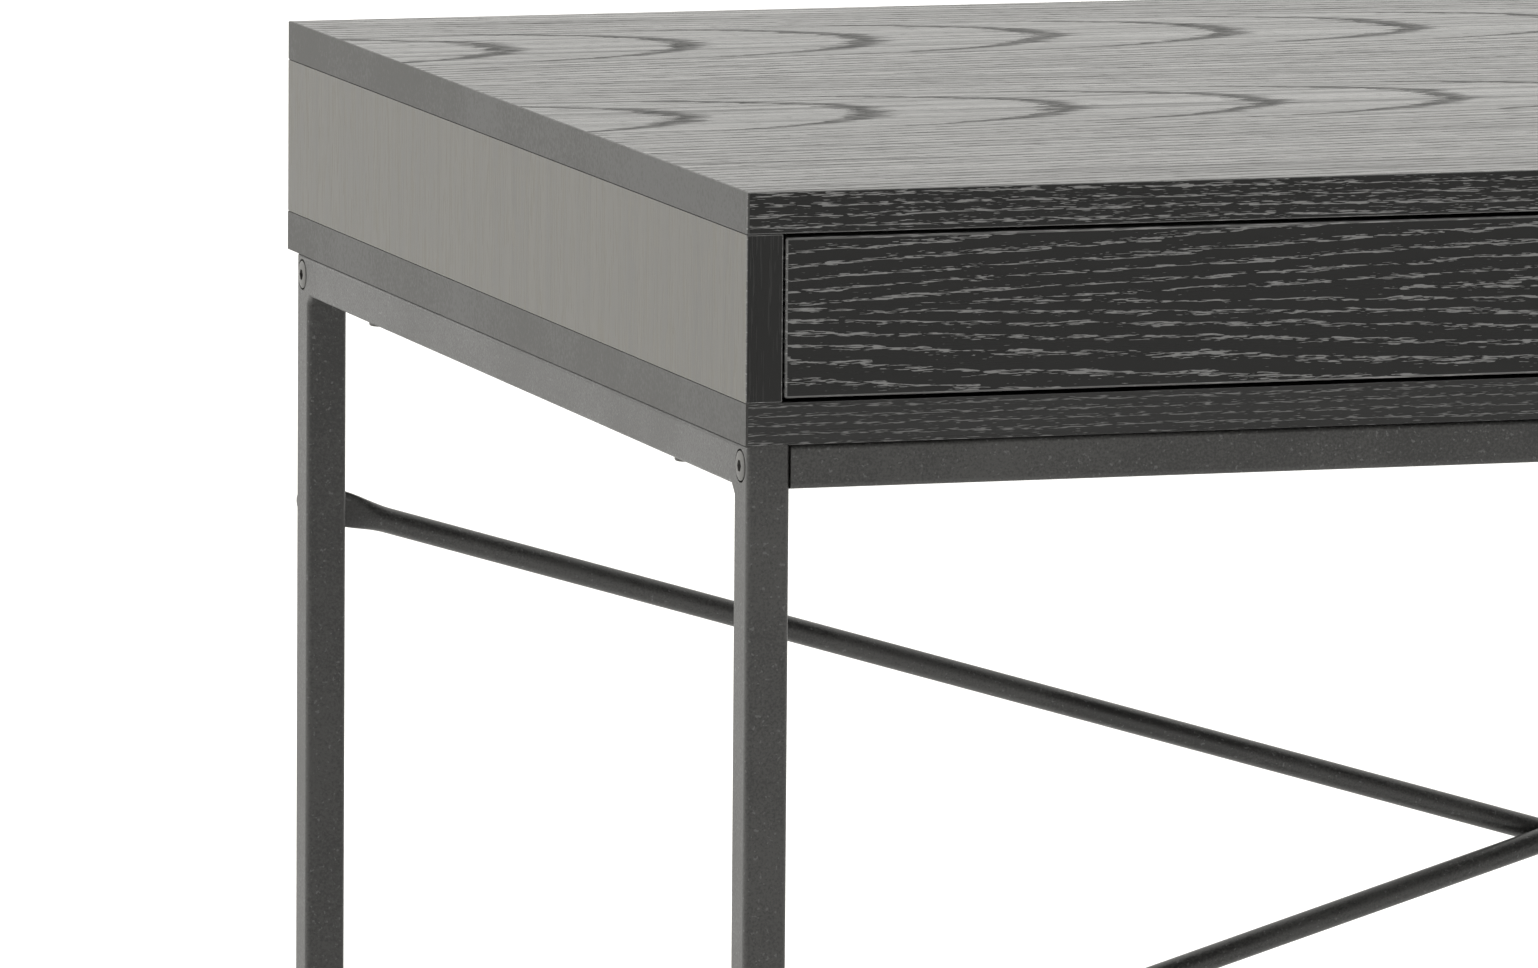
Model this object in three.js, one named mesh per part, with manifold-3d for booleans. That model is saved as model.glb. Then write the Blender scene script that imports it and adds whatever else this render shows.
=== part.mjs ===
// A writing desk: a shallow wooden box with two drawers on a slim frame of square steel tube,
// with a cross brace of round rods behind it.
// Millimetres. X runs along the desk, Y from its front to its back, Z up from the floor.
// The origin is on the floor, under the middle of the desktop.

import * as THREE from 'three';
import { mergeVertices } from 'three/addons/utils/BufferGeometryUtils.js';
import Module from 'manifold-3d';

const wasm = await Module();
wasm.setup();

// ---------------------------------------------------------------- driving dimensions

// Wooden box
const deskWidth = 1060;
const deskDepth = 600;
const deskHeight = 750;
const boardThickness = 15;
const sideBoardThickness = 13.5;
const dividerThickness = 15;
const backBoardThickness = 15;
const openingHeight = 60;
const boardGap = 0.1;

// Drawers
const frontThickness = 15;
const frontSideGap = 1;
const frontTopGap = 1.5;
const drawerSideThickness = 12;
const drawerBackThickness = 12;
const drawerSideHeight = 44;
const drawerFloorClearance = 4;
const drawerBottomThickness = 3;
const drawerBottomRaise = 6;
const grooveDepth = 6;
const grooveClearance = 0.2;

// Ball runners
const runnerSpace = 12.5;
const runnerHeight = 27;
const runnerWall = 1.2;
const runnerFrontSetback = 3;
const cabinetChannelDepth = 9.5;
const drawerChannelDepth = 9;
const drawerTravel = 360;
const cageLength = 96;
const cageWall = 0.8;
const cageWebGap = 0.6;
const ballDiameter = 2.4;
const ballPlay = 0.2;
const ballCount = 6;

// Push latches
const latchWidth = 22;
const latchLength = 55;
const latchHeight = 22;
const plungerDiameter = 8;
const plungerBoreClearance = 0.3;
const plungerInside = 34;
const plungerReach = 12;
const plungerTipDiameter = 11;
const plungerTipLength = 4;
const plungerSpringRoom = 10;
const plungerContactGap = 0.5;

// Steel frame
const tubeSize = 16;
const tubeWall = 1.2;
const tubeCornerRadius = 2;
const frameSideInset = 1;
const frameFrontInset = 1;
const frameBackInset = 10;
const tubeGap = 0.1;
const boltedJointGap = 0.3;
const railEndPlate = 3;

// Feet
const footThickness = 3;
const footPlugLength = 12;
const footPlugClearance = 0.15;

// Cross brace
const braceDiameter = 10;
const braceDrop = 99.5;
const braceBottomHeight = 252;
const braceCrossingGap = 0.6;
const lugWidth = 14;
const lugThickness = 3.5;
const lugSeatGap = 0.3;
const lugLength = 17;
const lugTaperLength = 22;
const frontRodSetback = 6;

// Fasteners
const frameBoltHeadDiameter = 11;
const frameBoltHeadProud = 0.5;
const frameBoltShankDiameter = 6;
const frameBoltGrip = 14;
const braceBoltHeadDiameter = 10.5;
const braceBoltHeadHeight = 3.2;
const braceBoltShankDiameter = 6;
const braceBoltReach = 11;
const hexSocketAcrossFlats = 4;
const hexSocketDepth = 2.2;
const holeClearance = 0.6;
const headSeatGap = 0.3;
const boardScrewDiameter = 4;
const boardScrewHeadDiameter = 8;
const boardScrewHeadHeight = 2.4;
const boardScrewBite = 10;
const boardScrewOffset = 100;
const crossSlotWidth = 1.2;
const crossSlotLength = 4.6;
const crossSlotDepth = 1.4;

// Fineness of the round shapes
const roundSegments = 16;
const cornerSegments = 3;
const ballSegments = 6;
const ballRings = 4;
const taperRings = 6;
const tipRings = 4;

// ---------------------------------------------------------------- worked-out places

const halfWidth = deskWidth / 2;
const halfDepth = deskDepth / 2;
const openingTop = deskHeight - boardThickness;
const openingFloor = openingTop - openingHeight;
const boxUnderside = openingFloor - boardThickness;
const backBoardFront = halfDepth - backBoardThickness;
const sideBoardInner = halfWidth - sideBoardThickness;

const tubeInner = tubeSize - 2 * tubeWall;
const tubeTop = boxUnderside - tubeGap;
const legCentreX = halfWidth - frameSideInset - tubeSize / 2;
const frontLegY = -halfDepth + frameFrontInset + tubeSize / 2;
const backLegY = halfDepth - frameBackInset - tubeSize / 2;
const legInnerX = legCentreX - tubeSize / 2;
const railCentreZ = tubeTop - tubeSize / 2;
const legRearFace = backLegY + tubeSize / 2;
const lugPlane = legRearFace + lugSeatGap + lugThickness / 2;
const frontRodPlane = legRearFace - frontRodSetback;
const backRodPlane = frontRodPlane + braceDiameter + braceCrossingGap;
const braceTopHeight = boxUnderside - braceDrop;

const ballRow = runnerHeight / 2 - runnerWall - ballPlay - ballDiameter / 2;
const drawerChannelHeight = 2 * (ballRow - ballDiameter / 2 - ballPlay);

// ---------------------------------------------------------------- finishes

const blackAsh = new THREE.MeshStandardMaterial({ color: 0x3b3a38, roughness: 0.42, metalness: 0 });
const drawerMelamine = new THREE.MeshStandardMaterial({ color: 0x4a4947, roughness: 0.55, metalness: 0 });
const hardboard = new THREE.MeshStandardMaterial({ color: 0x565350, roughness: 0.7, metalness: 0 });
const powderCoat = new THREE.MeshStandardMaterial({ color: 0x3d3e40, roughness: 0.55, metalness: 0.3 });
const darkFastener = new THREE.MeshStandardMaterial({ color: 0x5a5b5d, roughness: 0.4, metalness: 0.8 });
const zincSteel = new THREE.MeshStandardMaterial({ color: 0xa9adb0, roughness: 0.35, metalness: 0.9 });
const blackPlastic = new THREE.MeshStandardMaterial({ color: 0x1d1d1e, roughness: 0.6, metalness: 0 });

// ---------------------------------------------------------------- solid helpers

function solidFrom(geometry) {
  const bare = geometry.clone();
  bare.deleteAttribute('normal');
  bare.deleteAttribute('uv');
  const merged = mergeVertices(bare);
  return new wasm.Manifold(new wasm.Mesh({
    numProp: 3,
    vertProperties: merged.getAttribute('position').array,
    triVerts: new Uint32Array(merged.index.array),
  }));
}

function geometryFrom(solid) {
  const mesh = solid.getMesh();
  const geometry = new THREE.BufferGeometry();
  geometry.setAttribute('position', new THREE.BufferAttribute(mesh.vertProperties, 3));
  geometry.setIndex(new THREE.BufferAttribute(mesh.triVerts, 1));
  geometry.computeVertexNormals();
  return geometry;
}

function cut(geometry, tools) {
  return geometryFrom(tools.reduce((solid, tool) => solid.subtract(solidFrom(tool)), solidFrom(geometry)));
}

function join(geometry, others) {
  return geometryFrom(others.reduce((solid, other) => solid.add(solidFrom(other)), solidFrom(geometry)));
}

// Adds a named piece to its group. Cutting tools are given in the group's own frame.
function addPiece(group, name, material, geometry, place, rotation = [0, 0, 0], tools = []) {
  const piece = new THREE.Mesh(geometry, material);
  piece.name = name;
  piece.position.set(...place);
  piece.rotation.set(...rotation);
  if (tools.length > 0) {
    piece.updateMatrix();
    const toPiece = piece.matrix.clone().invert();
    piece.geometry = cut(geometry, tools.map((tool) => tool.clone().applyMatrix4(toPiece)));
  }
  group.add(piece);
  return piece;
}

// A flat board or block given by its limits along X, Y and Z.
function addBlock(group, name, material, x, y, z, tools = []) {
  const geometry = new THREE.BoxGeometry(x[1] - x[0], y[1] - y[0], z[1] - z[0]);
  const centre = [x, y, z].map(([low, high]) => (low + high) / 2);
  addPiece(group, name, material, geometry, centre, [0, 0, 0], tools);
}

const turnAlong = {
  x: [0, Math.PI / 2, 0],
  y: [-Math.PI / 2, 0, 0],
  z: [0, 0, 0],
};

function roundTool(axis, diameter, length, place) {
  const tool = new THREE.CylinderGeometry(diameter / 2, diameter / 2, length, roundSegments);
  if (axis === 'x') tool.rotateZ(Math.PI / 2);
  if (axis === 'z') tool.rotateX(Math.PI / 2);
  return tool.translate(...place);
}

function squareOutline(shape, side, radius) {
  const flat = side / 2 - radius;
  const quarter = Math.PI / 2;
  shape.moveTo(side / 2, -flat);
  shape.absarc(flat, flat, radius, 0, quarter);
  shape.absarc(-flat, flat, radius, quarter, 2 * quarter);
  shape.absarc(-flat, -flat, radius, 2 * quarter, 3 * quarter);
  shape.absarc(flat, -flat, radius, 3 * quarter, 4 * quarter);
  return shape;
}

function extruded(shape, length) {
  const solid = new THREE.ExtrudeGeometry(shape, {
    depth: length,
    bevelEnabled: false,
    curveSegments: cornerSegments,
  });
  return solid.translate(0, 0, -length / 2);
}

function squareTube(length) {
  const outline = squareOutline(new THREE.Shape(), tubeSize, tubeCornerRadius);
  outline.holes.push(squareOutline(new THREE.Path(), tubeInner, tubeCornerRadius - tubeWall));
  return extruded(outline, length);
}

function turned(points) {
  return new THREE.LatheGeometry(points.map(([radius, along]) => new THREE.Vector2(radius, along)), roundSegments);
}

// ---------------------------------------------------------------- fasteners

// A cylinder-head bolt with a hexagon socket, standing on its head: the head starts at 0 and the tip is up +Y.
function socketBolt(headDiameter, headLength, shankDiameter, totalLength) {
  const headRim = 0.6;
  const bolt = turned([
    [0, 0],
    [headDiameter / 2 - headRim, 0],
    [headDiameter / 2, headRim],
    [headDiameter / 2, headLength],
    [shankDiameter / 2, headLength],
    [shankDiameter / 2, totalLength],
    [0, totalLength],
  ]);
  const socketRadius = hexSocketAcrossFlats / Math.sqrt(3);
  const socket = new THREE.CylinderGeometry(socketRadius, socketRadius, 2 * hexSocketDepth, 6);
  return cut(bolt, [socket]);
}

// A pan-head wood screw with a cross slot, standing on its head like the bolt.
function boardScrew(totalLength) {
  const pointLength = 3;
  const headRim = 0.8;
  const screw = turned([
    [0, 0],
    [boardScrewHeadDiameter / 2 - headRim, 0],
    [boardScrewHeadDiameter / 2, headRim],
    [boardScrewHeadDiameter / 2, boardScrewHeadHeight],
    [boardScrewDiameter / 2, boardScrewHeadHeight],
    [boardScrewDiameter / 2, totalLength - pointLength],
    [0, totalLength],
  ]);
  const slot = new THREE.BoxGeometry(crossSlotLength, 2 * crossSlotDepth, crossSlotWidth);
  return cut(screw, [slot, slot.clone().rotateY(Math.PI / 2)]);
}

// ---------------------------------------------------------------- the wooden box

const desk = new THREE.Group();
desk.name = 'writing_desk';

const boardScrewPlaces = [
  ['front', -halfDepth + boardScrewOffset],
  ['back', halfDepth - boardScrewOffset],
];
const sides = [
  ['left', -1],
  ['right', 1],
];

function addBox() {
  const acrossDesk = [-halfWidth, halfWidth];
  const frontToBack = [-halfDepth, halfDepth];
  const openingZ = [openingFloor + boardGap, openingTop - boardGap];
  const pilotDepth = boardScrewBite + boardGap + holeClearance;
  const pilots = sides.flatMap(([, side]) => boardScrewPlaces.map(([, y]) => roundTool(
    'z',
    boardScrewDiameter + holeClearance,
    2 * pilotDepth,
    [side * legCentreX, y, boxUnderside],
  )));

  addBlock(desk, 'top_panel', blackAsh, acrossDesk, frontToBack, [openingTop, deskHeight]);
  addBlock(desk, 'bottom_panel', blackAsh, acrossDesk, frontToBack, [boxUnderside, openingFloor], pilots);
  addBlock(desk, 'left_side_panel', blackAsh, [-halfWidth, -sideBoardInner], frontToBack, openingZ);
  addBlock(desk, 'right_side_panel', blackAsh, [sideBoardInner, halfWidth], frontToBack, openingZ);
  addBlock(desk, 'back_panel', blackAsh, [-sideBoardInner + boardGap, sideBoardInner - boardGap],
    [backBoardFront, halfDepth], openingZ);
  addBlock(desk, 'centre_divider', blackAsh, [-dividerThickness / 2, dividerThickness / 2],
    [-halfDepth, backBoardFront - boardGap], openingZ);
}

// ---------------------------------------------------------------- the steel frame

function braceHoleTools(side) {
  const heights = [braceTopHeight, braceBottomHeight];
  return heights.map((height) => roundTool(
    'y',
    braceBoltShankDiameter + holeClearance,
    tubeSize,
    [side * legCentreX, legRearFace, height],
  ));
}

function frameBoltTools(side, legY) {
  const headHole = roundTool(
    'x',
    frameBoltHeadDiameter + holeClearance,
    tubeSize,
    [side * (legCentreX + tubeSize / 2), legY, railCentreZ],
  );
  const shankHole = roundTool(
    'x',
    frameBoltShankDiameter + holeClearance,
    tubeSize,
    [side * legInnerX, legY, railCentreZ],
  );
  return [headHole, shankHole];
}

function addLeg(sideName, side, rowName, legY, braced) {
  const length = tubeTop - footThickness - tubeGap;
  const tools = frameBoltTools(side, legY);
  if (braced) tools.push(...braceHoleTools(side));
  const centre = [side * legCentreX, legY, tubeTop - length / 2];
  addPiece(desk, `${sideName}_${rowName}_leg`, powderCoat, squareTube(length), centre, turnAlong.z, tools);
  addFoot(`${sideName}_${rowName}_foot`, side * legCentreX, legY);
}

function addFoot(name, x, y) {
  const plugSide = tubeInner - 2 * footPlugClearance;
  const plugHeight = footPlugLength + footThickness;
  const plate = extruded(squareOutline(new THREE.Shape(), tubeSize, tubeCornerRadius), footThickness);
  const plug = extruded(squareOutline(new THREE.Shape(), plugSide, tubeCornerRadius - tubeWall), plugHeight);
  plug.translate(0, 0, plugHeight / 2 - footThickness / 2);
  addPiece(desk, name, blackPlastic, join(plate, [plug]), [x, y, footThickness / 2]);
}

function addSideRail(sideName, side) {
  const start = frontLegY + tubeSize / 2 + tubeGap;
  const end = backLegY - tubeSize / 2 - tubeGap;
  const tools = boardScrewPlaces.map(([, y]) => roundTool(
    'z',
    boardScrewDiameter + holeClearance,
    2 * tubeSize,
    [side * legCentreX, y, railCentreZ],
  ));
  const centre = [side * legCentreX, (start + end) / 2, railCentreZ];
  addPiece(desk, `${sideName}_side_rail`, powderCoat, squareTube(end - start), centre, turnAlong.y, tools);
}

// A rail between the two side frames: a tube with a tapped plate welded in each end.
function addCrossRail(name, y) {
  const length = 2 * (legInnerX - boltedJointGap);
  const tube = squareTube(length);
  const plateShape = squareOutline(new THREE.Shape(), tubeInner, tubeCornerRadius - tubeWall);
  const plates = [-1, 1].map((end) => extruded(plateShape, railEndPlate)
    .translate(0, 0, end * (length - railEndPlate) / 2));
  const boltHole = roundTool('x', frameBoltShankDiameter + holeClearance, 2 * length, [0, y, railCentreZ]);
  addPiece(desk, name, powderCoat, join(tube, plates), [0, y, railCentreZ], turnAlong.x, [boltHole]);
}

function addFrameBolt(name, side, y) {
  const headFace = legCentreX + tubeSize / 2 + frameBoltHeadProud;
  const headLength = tubeSize + frameBoltHeadProud - tubeWall - headSeatGap;
  const bolt = socketBolt(frameBoltHeadDiameter, headLength, frameBoltShankDiameter, headLength + frameBoltGrip);
  addPiece(desk, name, darkFastener, bolt, [side * headFace, y, railCentreZ], [0, 0, side * Math.PI / 2]);
}

function addBoardScrew(name, side, y) {
  const headFace = railCentreZ - tubeSize / 2 - headSeatGap - boardScrewHeadHeight;
  const screw = boardScrew(boxUnderside + boardScrewBite - headFace);
  addPiece(desk, name, darkFastener, screw, [side * legCentreX, y, headFace], [Math.PI / 2, 0, 0]);
}

function addFrame() {
  for (const [sideName, side] of sides) {
    addLeg(sideName, side, 'front', frontLegY, false);
    addLeg(sideName, side, 'back', backLegY, true);
    addSideRail(sideName, side);
    addFrameBolt(`${sideName}_front_frame_bolt`, side, frontLegY);
    addFrameBolt(`${sideName}_back_frame_bolt`, side, backLegY);
    for (const [row, y] of boardScrewPlaces) addBoardScrew(`${sideName}_${row}_board_screw`, side, y);
  }
  addCrossRail('front_rail', frontLegY);
  addCrossRail('back_rail', backLegY);
}

// ---------------------------------------------------------------- the cross brace

function rodRings(length) {
  const tip = lugWidth / 2;
  const fromEnd = [];
  for (let ring = 1; ring <= tipRings; ring += 1) {
    fromEnd.push(tip * (1 - Math.cos((ring / tipRings) * (Math.PI / 2))));
  }
  for (let ring = 0; ring <= taperRings; ring += 1) {
    fromEnd.push(lugLength + (ring / taperRings) * lugTaperLength);
  }
  const left = fromEnd.map((distance) => distance - length / 2);
  const right = fromEnd.map((distance) => length / 2 - distance).reverse();
  return [...left, ...right];
}

// A round rod along X, pressed flat and round-ended at both ends.
// The flats lie lugOffset behind the rod's own plane, so that they seat on the legs.
function flattenedRod(holeSpan, lugOffset) {
  const roundExponent = 1;
  const flatExponent = 0.35;
  const length = holeSpan + lugWidth;
  const rings = rodRings(length).map((along) => new THREE.Vector2(1, along));
  const profile = [new THREE.Vector2(0, -length / 2), ...rings, new THREE.Vector2(0, length / 2)];
  const rod = new THREE.LatheGeometry(profile, roundSegments);
  const position = rod.getAttribute('position');
  const { lerp, smoothstep } = THREE.MathUtils;
  const pressed = (part, exponent) => Math.sign(part) * Math.abs(part) ** exponent;
  for (let i = 0; i < position.count; i += 1) {
    const along = position.getY(i);
    const fromEnd = Math.max(length / 2 - Math.abs(along), 0);
    const flat = 1 - smoothstep(fromEnd, lugLength, lugLength + lugTaperLength);
    const tipShare = Math.min(fromEnd / (lugWidth / 2), 1);
    const tipWidth = Math.sqrt(1 - (1 - tipShare) ** 2);
    const exponent = lerp(roundExponent, flatExponent, flat);
    const thick = pressed(-position.getX(i), exponent) * lerp(braceDiameter, lugThickness, flat) / 2;
    const wide = pressed(position.getZ(i), exponent) * lerp(braceDiameter, lugWidth, flat) * tipWidth / 2;
    position.setXYZ(i, along, thick + flat * lugOffset, wide);
  }
  const holes = [-1, 1].map((end) => roundTool(
    'y',
    braceBoltShankDiameter + holeClearance,
    2 * braceDiameter,
    [end * holeSpan / 2, lugOffset, 0],
  ));
  return cut(rod, holes);
}

function addBrace() {
  const rise = braceTopHeight - braceBottomHeight;
  const span = 2 * legCentreX;
  const holeSpan = Math.hypot(span, rise);
  const slope = Math.atan2(rise, span);
  const middle = (braceTopHeight + braceBottomHeight) / 2;
  const rods = [
    ['brace_rod_falling_right', frontRodPlane, slope],
    ['brace_rod_falling_left', backRodPlane, -slope],
  ];
  for (const [name, plane, turn] of rods) {
    addPiece(desk, name, powderCoat, flattenedRod(holeSpan, lugPlane - plane), [0, plane, middle], [0, turn, 0]);
  }
  const headFace = lugPlane + lugThickness / 2 + headSeatGap + braceBoltHeadHeight;
  for (const [sideName, side] of sides) {
    for (const [row, height] of [['upper', braceTopHeight], ['lower', braceBottomHeight]]) {
      const bolt = socketBolt(
        braceBoltHeadDiameter,
        braceBoltHeadHeight,
        braceBoltShankDiameter,
        braceBoltHeadHeight + braceBoltReach,
      );
      addPiece(desk, `${sideName}_${row}_brace_bolt`, darkFastener, bolt,
        [side * legCentreX, headFace, height], [Math.PI, 0, 0]);
    }
  }
}

// ---------------------------------------------------------------- drawers, runners and latches

const spaceInner = dividerThickness / 2;
const spaceWidth = sideBoardInner - spaceInner;
const spaceCentre = (sideBoardInner + spaceInner) / 2;
const frontBack = -halfDepth + frontThickness;
const latchBack = backBoardFront - boardGap;
const latchFront = latchBack - latchLength;
const drawerBack = latchFront - plungerReach - plungerContactGap;
const drawerOuter = spaceWidth / 2 - runnerSpace;
const drawerInner = drawerOuter - drawerSideThickness;
const drawerFloor = openingFloor + drawerFloorClearance;
const drawerSideTop = drawerFloor + drawerSideHeight;
const runnerCentreZ = (drawerFloor + drawerSideTop) / 2;
const runnerFront = frontBack + runnerFrontSetback;
const runnerLength = drawerBack - runnerFront;

function addDrawerBox(group, name) {
  const bottomZ = drawerFloor + drawerBottomRaise;
  const bottomHalf = drawerInner + grooveDepth;
  const bottomX = [-bottomHalf, bottomHalf];
  const bottomY = [frontBack - grooveDepth, drawerBack - drawerBackThickness + grooveDepth];
  const grow = 2 * grooveClearance;
  const groove = new THREE.BoxGeometry(
    2 * bottomHalf + grow,
    bottomY[1] - bottomY[0] + grow,
    drawerBottomThickness + grow,
  ).translate(0, (bottomY[0] + bottomY[1]) / 2, bottomZ + drawerBottomThickness / 2);
  const frontHalf = spaceWidth / 2 - frontSideGap;
  const sideY = [frontBack + boardGap, drawerBack];
  const sideZ = [drawerFloor, drawerSideTop];

  addBlock(group, `${name}_front`, blackAsh, [-frontHalf, frontHalf], [-halfDepth, frontBack],
    [openingFloor + frontTopGap, openingTop - frontTopGap], [groove]);
  addBlock(group, `${name}_left_side`, drawerMelamine, [-drawerOuter, -drawerInner], sideY, sideZ, [groove]);
  addBlock(group, `${name}_right_side`, drawerMelamine, [drawerInner, drawerOuter], sideY, sideZ, [groove]);
  addBlock(group, `${name}_back`, drawerMelamine, [-drawerInner + boardGap, drawerInner - boardGap],
    [drawerBack - drawerBackThickness, drawerBack], sideZ, [groove]);
  addBlock(group, `${name}_bottom`, hardboard, bottomX, bottomY, [bottomZ, bottomZ + drawerBottomThickness]);
}

// A rolled channel along Y whose open side faces +X, or -X where facing is -1. Its web starts at X = 0.
function channel(facing, depth, height, wall, length) {
  const outline = new THREE.Shape();
  outline.moveTo(0, -height / 2);
  outline.lineTo(facing * depth, -height / 2);
  outline.lineTo(facing * depth, -height / 2 + wall);
  outline.lineTo(facing * wall, -height / 2 + wall);
  outline.lineTo(facing * wall, height / 2 - wall);
  outline.lineTo(facing * depth, height / 2 - wall);
  outline.lineTo(facing * depth, height / 2);
  outline.lineTo(0, height / 2);
  outline.closePath();
  return extruded(outline, length);
}

// The cage that holds both rows of balls between the two channels of a runner.
function ballCage(facing) {
  const height = 2 * ballRow + cageWall;
  const depth = cabinetChannelDepth - runnerWall - cageWebGap;
  const strip = channel(facing, depth, height, cageWall, cageLength);
  const pitch = cageLength / ballCount;
  const balls = [];
  for (let i = 0; i < ballCount; i += 1) {
    for (const row of [-1, 1]) {
      const ball = new THREE.SphereGeometry(ballDiameter / 2, ballSegments, ballRings);
      balls.push(ball.translate(facing * depth / 2, row * ballRow, (i + 0.5 - ballCount / 2) * pitch));
    }
  }
  return join(strip, balls);
}

// One runner: the side of the drawer space it hangs on is -1 for left and 1 for right.
function addRunner(group, name, side) {
  const wallX = side * (spaceWidth / 2 - boardGap);
  const drawerX = side * (drawerOuter + boardGap);
  const centreY = runnerFront + runnerLength / 2;
  const cageX = wallX - side * (runnerWall + cageWebGap);
  const cageY = runnerFront + (runnerLength - drawerTravel) / 2 + drawerTravel / 2;
  const cabinet = channel(-side, cabinetChannelDepth, runnerHeight, runnerWall, runnerLength);
  const sliding = channel(side, drawerChannelDepth, drawerChannelHeight, runnerWall, runnerLength);
  addPiece(group, `${name}_cabinet_channel`, zincSteel, cabinet, [wallX, centreY, runnerCentreZ], turnAlong.y);
  addPiece(group, `${name}_drawer_channel`, zincSteel, sliding, [drawerX, centreY, runnerCentreZ], turnAlong.y);
  addPiece(group, `${name}_ball_cage`, zincSteel, ballCage(-side), [cageX, cageY, runnerCentreZ], turnAlong.y);
}

function addLatch(group, name) {
  const centreZ = openingFloor + boardGap + latchHeight / 2;
  const boreLength = plungerInside + plungerSpringRoom;
  const bore = roundTool(
    'y',
    plungerDiameter + 2 * plungerBoreClearance,
    2 * boreLength,
    [0, latchFront, centreZ],
  );
  addBlock(group, `${name}_latch_body`, blackPlastic, [-latchWidth / 2, latchWidth / 2], [latchFront, latchBack],
    [openingFloor + boardGap, openingFloor + boardGap + latchHeight], [bore]);
  const tipRound = 1.5;
  const plunger = turned([
    [0, 0],
    [plungerTipDiameter / 2 - tipRound, 0],
    [plungerTipDiameter / 2, tipRound],
    [plungerTipDiameter / 2, plungerTipLength],
    [plungerDiameter / 2, plungerTipLength],
    [plungerDiameter / 2, plungerReach + plungerInside],
    [0, plungerReach + plungerInside],
  ]);
  addPiece(group, `${name}_latch_plunger`, blackPlastic, plunger, [0, latchFront - plungerReach, centreZ]);
}

for (const [sideName, side] of sides) {
  const bay = new THREE.Group();
  bay.position.x = side * spaceCentre;
  const name = `${sideName}_drawer`;
  addDrawerBox(bay, name);
  addRunner(bay, `${name}_left_runner`, -1);
  addRunner(bay, `${name}_right_runner`, 1);
  addLatch(bay, name);
  desk.add(bay);
}

addBox();
addFrame();
addBrace();

export default desk;
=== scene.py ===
# %% [markdown]
# A writing desk with two drawers
#
# The desk is a shallow box of black-stained ash board that sits on a frame of square steel tube,
# with two crossed rods behind it. The measured solids come from the frame file, and this lesson
# gives them their looks: softened edges, turned bolts, pressed rod ends, and procedural finishes.
# Everything is in metres, with the floor at Z = 0 and the desk's front facing -Y.

from math import cos, pi, radians, sin, sqrt

import bmesh
import bpy
from mathutils import Matrix, Vector


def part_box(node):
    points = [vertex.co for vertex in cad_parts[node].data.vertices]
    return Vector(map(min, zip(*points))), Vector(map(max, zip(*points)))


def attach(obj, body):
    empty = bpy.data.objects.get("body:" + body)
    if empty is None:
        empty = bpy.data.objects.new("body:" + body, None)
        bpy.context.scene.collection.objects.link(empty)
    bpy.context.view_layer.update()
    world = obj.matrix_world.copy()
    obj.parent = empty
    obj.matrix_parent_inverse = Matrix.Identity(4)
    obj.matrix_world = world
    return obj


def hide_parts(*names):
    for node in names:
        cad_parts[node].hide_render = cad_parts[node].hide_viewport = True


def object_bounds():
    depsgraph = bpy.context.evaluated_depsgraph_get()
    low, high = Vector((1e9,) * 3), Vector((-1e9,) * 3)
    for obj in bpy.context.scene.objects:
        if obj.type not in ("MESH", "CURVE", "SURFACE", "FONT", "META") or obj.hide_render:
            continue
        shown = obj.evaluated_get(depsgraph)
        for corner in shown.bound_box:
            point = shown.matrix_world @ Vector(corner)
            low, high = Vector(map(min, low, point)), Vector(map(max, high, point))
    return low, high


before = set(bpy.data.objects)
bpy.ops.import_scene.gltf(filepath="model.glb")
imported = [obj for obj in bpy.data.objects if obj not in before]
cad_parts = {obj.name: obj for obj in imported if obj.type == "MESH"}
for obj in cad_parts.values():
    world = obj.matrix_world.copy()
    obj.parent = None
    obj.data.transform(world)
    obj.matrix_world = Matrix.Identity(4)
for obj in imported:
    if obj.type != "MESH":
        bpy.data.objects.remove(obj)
measured_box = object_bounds()
scene = bpy.context.scene
desk_low, desk_high = measured_box
print("desk measures", [round(side, 4) for side in desk_high - desk_low], "m")

# %% [markdown]
# The camera
#
# A long lens from a few metres away, in front of the desk's left end and a little above the top,
# keeps the lines nearly parallel, the way furniture is usually shown. A shorter lens nearer the desk
# would make the near corner bulge, so the long one is used. Nothing is shifted or blurred.

# %% Place the camera
CAMERA_PLACE = (-1.9803, -4.8942, 1.3092)
CAMERA_YAW, CAMERA_PITCH, CAMERA_ROLL = radians(17.62), radians(7.83), radians(0.44)
LENS_MM, SENSOR_MM = 322.99, 36
FARTHEST_SEEN = 200

camera = bpy.data.objects.new("camera", bpy.data.cameras.new("camera"))
camera.data.lens, camera.data.sensor_width = LENS_MM, SENSOR_MM
camera.data.clip_end = FARTHEST_SEEN
camera.matrix_world = (
    Matrix.Translation(CAMERA_PLACE)
    @ Matrix.Rotation(-CAMERA_YAW, 4, "Z")
    @ Matrix.Rotation(pi / 2 - CAMERA_PITCH, 4, "X")
    @ Matrix.Rotation(CAMERA_ROLL, 4, "Z")
)
scene.collection.objects.link(camera)
scene.camera = camera
print("lens", LENS_MM, "mm")

# %% [markdown]
# Small helpers for node trees
#
# A finish is a tree of nodes. Adding nodes by hand in code is wordy, so two helpers do it: one adds
# a node and wires what it is given, and the other is a sum or product of two values.

# %% Node helpers
def node(tree, kind, inputs=None, **settings):
    """Adds a node; an input that is a socket is linked, and any other value is set."""
    made = tree.nodes.new(kind)
    for name, value in settings.items():
        setattr(made, name, value)
    for key, value in (inputs or {}).items():
        socket = made.inputs[key]
        if isinstance(value, bpy.types.NodeSocket):
            tree.links.new(value, socket)
        else:
            socket.default_value = value
    return made


def calc(tree, operation, *values):
    """One Math node, and its result."""
    return node(tree, "ShaderNodeMath", dict(enumerate(values)), operation=operation).outputs[0]


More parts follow.
